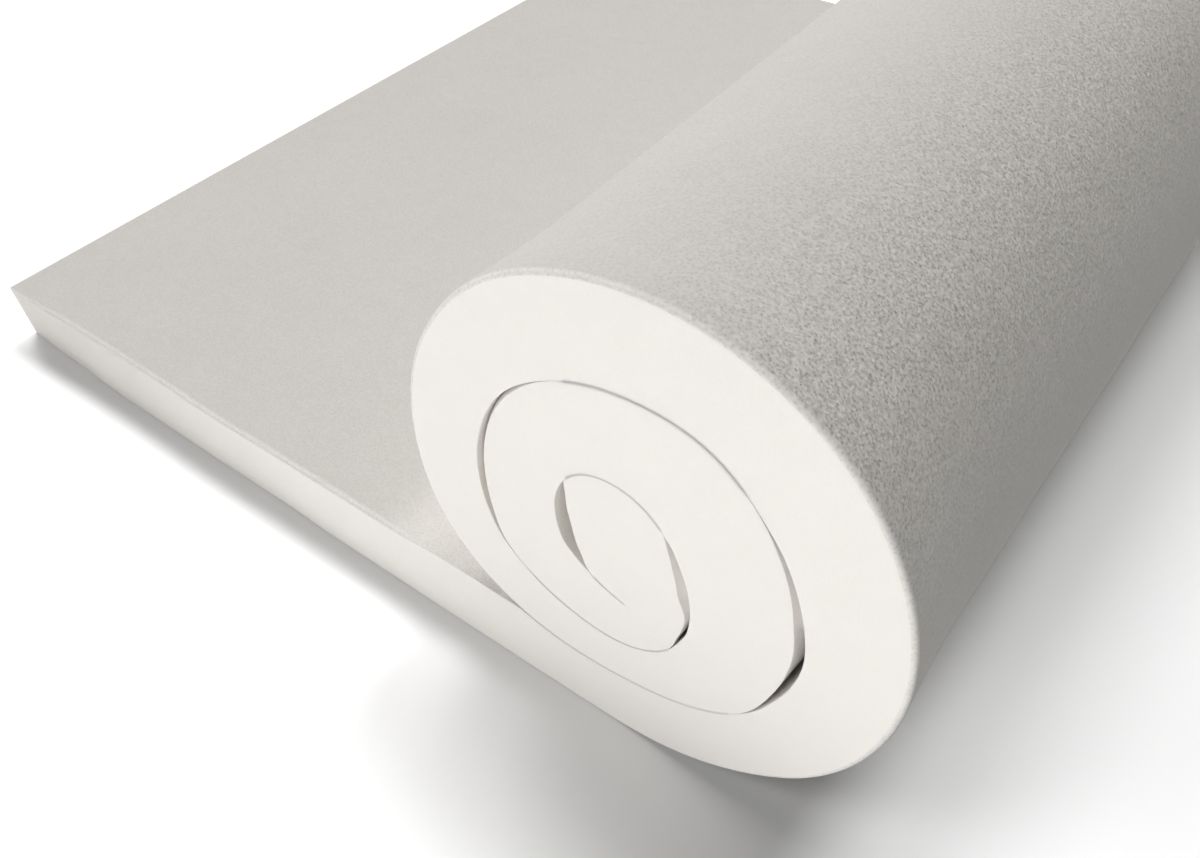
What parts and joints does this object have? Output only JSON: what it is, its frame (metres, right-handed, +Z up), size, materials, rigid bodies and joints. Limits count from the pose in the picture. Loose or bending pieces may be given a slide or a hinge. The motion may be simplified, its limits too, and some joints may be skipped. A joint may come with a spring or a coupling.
{
  "type": "mattress topper",
  "caption": "Plain soft foam panel that tops a bed mattress, one end lying flat on the floor and the rest rolled up on top of it.",
  "frame": {"origin": "on the floor, under the middle of the whole rolled shape", "axes": "+X runs from the panel's flat end towards the roll, +Y along the roll's axis, which is the panel's width, and +Z up"},
  "size_m": [0.7578, 0.9, 0.295],
  "materials": {
    "foam": "matt open-cell foam, bare and off-white, with a fine skin on its broad faces and smooth cut edges"
  },
  "bodies": {
    "root": {"foam_topper": "foam"}
  },
  "joints": []
}
